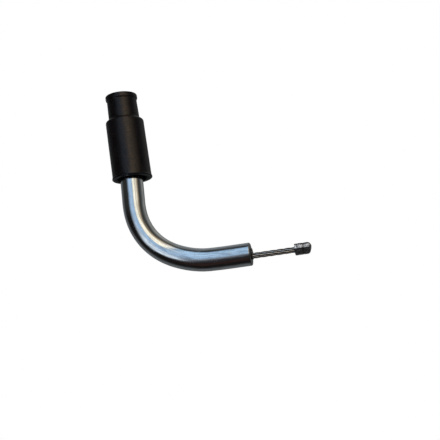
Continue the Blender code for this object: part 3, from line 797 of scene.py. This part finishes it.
def build_pieces():
    """Makes the materials and every visual piece, and gives the hidden core a metal."""
    chrome = chrome_material()
    rubber = rubber_material()
    nylon = nylon_material()
    wire = wire_material()
    steel = metal_material("zinc_plated_steel", (0.60, 0.61, 0.60), (0.45, 0.45, 0.42),
                           rough_low=0.22, rough_high=0.36, grain=0.003, ring_lines=0.006)
    spring_steel = metal_material("blued_spring_steel", (0.30, 0.31, 0.34), (0.20, 0.19, 0.18),
                                  rough_low=0.28, rough_high=0.42)
    brass = metal_material("turned_brass", (0.75, 0.56, 0.27), (0.58, 0.40, 0.18),
                           rough_low=0.22, rough_high=0.36, grain=0.003, ring_lines=0.006)
    tube_piece(chrome)
    boot_piece(rubber)
    bush_piece(nylon)
    wire_pieces(wire)
    slug_piece(slug_material())
    swivel_pieces(steel, nylon, rubber, spring_steel)
    adjuster_pieces(steel, brass, spring_steel)
    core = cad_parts["wire_core"]
    core.data.materials.clear()
    core.data.materials.append(metal_material("core_steel", (0.42, 0.41, 0.40), (0.2, 0.16, 0.12),
                                              rough_low=0.3, rough_high=0.45,
                                              stretch=(0.2, 1.0, 1.0)))


# ---------------------------------------------------------------- camera, floor and light

def add_camera():
    """The camera of the main view. It looks a little upwards and is rolled."""
    azimuth, elevation, roll = STUDIO_FRONT, CAMERA_ELEVATION, CAMERA_ROLL
    aim = Vector(CAMERA_AIM)
    level = math.cos(elevation)
    back = Vector((math.sin(azimuth) * level, -math.cos(azimuth) * level, math.sin(elevation)))
    right = Vector((math.cos(azimuth), math.sin(azimuth), 0.0))
    up = back.cross(right)
    rolled_right = right * math.cos(roll) - up * math.sin(roll)
    rolled_up = right * math.sin(roll) + up * math.cos(roll)
    data = bpy.data.cameras.new("camera")
    data.lens = CAMERA_LENS
    data.clip_start = 0.01
    camera = bpy.data.objects.new("camera", data)
    turn = Matrix((rolled_right, rolled_up, back)).transposed()
    camera.matrix_world = Matrix.Translation(aim + back * CAMERA_DISTANCE) @ turn.to_4x4()
    bpy.context.scene.collection.objects.link(camera)
    bpy.context.scene.camera = camera


def add_floor():
    """A plain pale floor. It glows a little, so that it stays pale to its far edge."""
    material, graph, shader = start_material("pale_floor")
    place = graph.node("ShaderNodeTexCoord").outputs["Object"]
    tone = graph.noise(place, 3.0, 3.0)
    colour = graph.mix(graph.soft(tone, 0.3, 0.7), (0.80, 0.80, 0.80), (0.84, 0.84, 0.835))
    connect(graph, shader, Base_Color=colour, Roughness=0.8, Specular_IOR_Level=0.2,
            Emission_Color=WHITE, Emission_Strength=FLOOR_GLOW)
    mesh = bpy.data.meshes.new("floor")
    turns = [math.tau * k / FLOOR_SIDES for k in range(FLOOR_SIDES)]
    ring = [(FLOOR_RADIUS * math.cos(turn), FLOOR_RADIUS * math.sin(turn), 0) for turn in turns]
    mesh.from_pydata(ring, [], [tuple(range(FLOOR_SIDES))])
    mesh.materials.append(material)
    floor = bpy.data.objects.new("floor", mesh)
    floor.location = (0, 0, FLOOR_Z)
    floor.visible_glossy = False
    bpy.context.scene.collection.objects.link(floor)


def add_light():
    """One large soft light above. The chrome doesn't mirror it."""
    data = bpy.data.lights.new("soft_top", "AREA")
    data.shape = "DISK"
    data.size = LIGHT_SIZE
    data.energy = LIGHT_POWER
    data.color = LIGHT_COLOUR
    light = bpy.data.objects.new("soft_top", data)
    light.location = LIGHT_PLACE
    light.visible_glossy = False
    bpy.context.scene.collection.objects.link(light)


def studio_view(graph):
    """Where a direction points in the studio. Its angles are in degrees."""
    direction = graph.node("ShaderNodeTexCoord").outputs["Generated"]
    x, y, z = graph.node("ShaderNodeSeparateXYZ", {0: direction}).outputs
    sine, cosine = math.sin(STUDIO_FRONT), math.cos(STUDIO_FRONT)
    front = graph.math("SUBTRACT", graph.times(x, sine), graph.times(y, cosine))
    right = graph.plus(graph.times(x, cosine), graph.times(y, sine))
    return SimpleNamespace(right=right, front=front, up=z,
                           azimuth=graph.times(graph.math("ARCTAN2", right, front), DEGREES),
                           elevation=graph.times(graph.math("ARCSINE", z), DEGREES),
                           edge=graph.angle_from(right, front, z, EDGE_PLANE),
                           depth=graph.angle_from(right, front, z, DEPTH_PLANE))


def unlit_room(graph, view):
    """The studio between its panels: nearly black in front and below, and grey behind."""
    right, front, azimuth, elevation = view.right, view.front, view.azimuth, view.elevation
    upper = graph.soft(graph.plus(right, graph.times(view.up, 1.2)), -0.4, 0.6)
    black_low = graph.mix(graph.soft(elevation, 3, 15), BLACK_LOW, BLACK_MIDDLE)
    black_up = graph.mix(graph.soft(right, -0.12, 0.08), BLACK_LEFT, BLACK_RIGHT)
    black = graph.mix(upper, black_low, black_up)

    grey_up = graph.mix(graph.soft(right, 0.05, 0.35), GREY_LEFT, GREY_RIGHT)
    grey = graph.mix(upper, GREY_LOW, grey_up)
    glow = graph.times(graph.soft(right, 0.15, 0.5), graph.soft(elevation, 35, 48),
                       graph.soft(elevation, 76, 62))
    grey = graph.mix(glow, grey, GREY_GLOW)
    low_back = graph.times(graph.soft(elevation, 32, 18), graph.soft(front, -0.5, -0.85),
                           graph.soft(right, -0.3, 0.2))
    grey = graph.mix(low_back, grey, GREY_LOW_BACK)

    back_low = graph.soft(front, -0.03, -0.78)
    back_up = graph.soft(view.depth, 0, 48)
    back = graph.plus(back_low, graph.times(upper, graph.math("SUBTRACT", back_up, back_low)))
    under_sky = graph.times(graph.soft(elevation, -56, -20), graph.soft(elevation, 30, 10),
                            graph.soft(azimuth, -60, -45), graph.soft(azimuth, 20, 0))
    return graph.mix(under_sky, graph.mix(back, black, grey), BLACK_UNDER_SKY)


def cream_reach(graph, view):
    """The cream panel's share where it meets the blue one along a slanting edge."""
    shift = graph.soft(view.elevation, 42, 62, 0, -5)
    start = graph.plus(graph.soft(view.elevation, 12, 32, 10, -7), shift)
    end = graph.plus(graph.soft(view.elevation, 12, 32, 19, 1), shift)
    return graph.soft(view.edge, start, end)


def with_cream_panel(graph, view, room, cream_side):
    """Adds the cream panel on the right, with a brown border behind it and a tan line low on it."""
    azimuth, elevation, depth = view.azimuth, view.elevation, view.depth
    brown = graph.times(graph.soft(depth, 4, -26), cream_side, graph.soft(elevation, 29, 43),
                        graph.soft(elevation, 84, 72))
    room = graph.mix(brown, room, BROWN)
    rise = graph.soft(elevation, 33, 75, 0, 29)
    lit = graph.soft(depth, graph.plus(graph.soft(elevation, 26, 38, -9, -18), rise),
                     graph.plus(graph.soft(elevation, 26, 38, -48, -38), rise))
    cream = graph.mix(graph.soft(elevation, 20, 32), CREAM_LOW, CREAM_MIDDLE)
    cream = graph.mix(graph.soft(elevation, 44, 62), cream, CREAM_HIGH)
    tan_line = graph.times(graph.soft(azimuth, 23, 28), graph.soft(azimuth, 35, 30),
                           graph.soft(elevation, 31, 25))
    cream = graph.mix(graph.times(tan_line, 0.8), cream, TAN)
    cream = graph.mix(graph.soft(lit, 0.9, 0.3), cream, CREAM_FADE)
    return graph.mix(graph.times(cream_side, lit, graph.soft(elevation, -10, 4)), room, cream)


def with_sky_panel(graph, view, room, cream_side):
    """Adds the blue panel in front and above. It is pale low on the left and fades at its foot."""
    azimuth, elevation = view.azimuth, view.elevation
    shift = graph.soft(view.right, -0.18, 0.06, 0, 4)
    high_side = graph.soft(view.depth, graph.plus(graph.soft(elevation, 35, 72, -13, 0), shift),
                           graph.plus(graph.soft(elevation, 35, 72, -40, -13), shift))
    left_side = graph.soft(azimuth, graph.soft(elevation, -16, 12, -70, -54),
                           graph.soft(elevation, -16, 12, -48, -24))
    low_side = graph.soft(elevation, graph.plus(graph.soft(azimuth, -56, -44, -31, -37),
                                                graph.soft(azimuth, -36, -20, 0, 9)),
                          graph.plus(graph.soft(azimuth, -56, -44, -12, -17),
                                     graph.soft(azimuth, -36, -20, 0, 36)))
    sky = graph.mix(graph.soft(elevation, 22, 46), SKY_LOW, SKY_HIGH)
    pale = graph.times(graph.soft(azimuth, -22, -36), graph.soft(elevation, 14, 0))
    sky = graph.mix(pale, sky, SKY_PALE)
    sky = graph.mix(graph.soft(low_side, 0.8, 0.2), sky, SKY_FADE)
    not_cream = graph.math("SUBTRACT", 1.0, cream_side)
    return graph.mix(graph.times(not_cream, left_side, low_side, high_side), room, sky)


def add_surroundings():
    """A studio of soft panels that the chrome mirrors. The camera itself sees plain white."""
    world = bpy.data.worlds.new("studio")
    bpy.context.scene.world = world
    world.use_nodes = True
    tree = world.node_tree
    graph = Graph(tree)
    view = studio_view(graph)
    cream_side = cream_reach(graph, view)
    colour = unlit_room(graph, view)
    colour = with_cream_panel(graph, view, colour, cream_side)
    colour = with_sky_panel(graph, view, colour, cream_side)
    red = graph.times(graph.soft(view.elevation, -36, -46), graph.soft(view.elevation, -74, -62),
                      graph.soft(view.azimuth, -70, -52), graph.soft(view.azimuth, 40, 10))
    colour = graph.mix(red, colour, DARK_RED)
    seen = graph.node("ShaderNodeLightPath").outputs["Is Camera Ray"]
    background = tree.nodes["Background"]
    tree.links.new(graph.mix(seen, colour, WHITE), background.inputs["Color"])
    background.inputs["Strength"].default_value = 1.0


build_pieces()
add_camera()
add_floor()
add_light()
add_surroundings()
bpy.context.scene.view_settings.view_transform = "Standard"
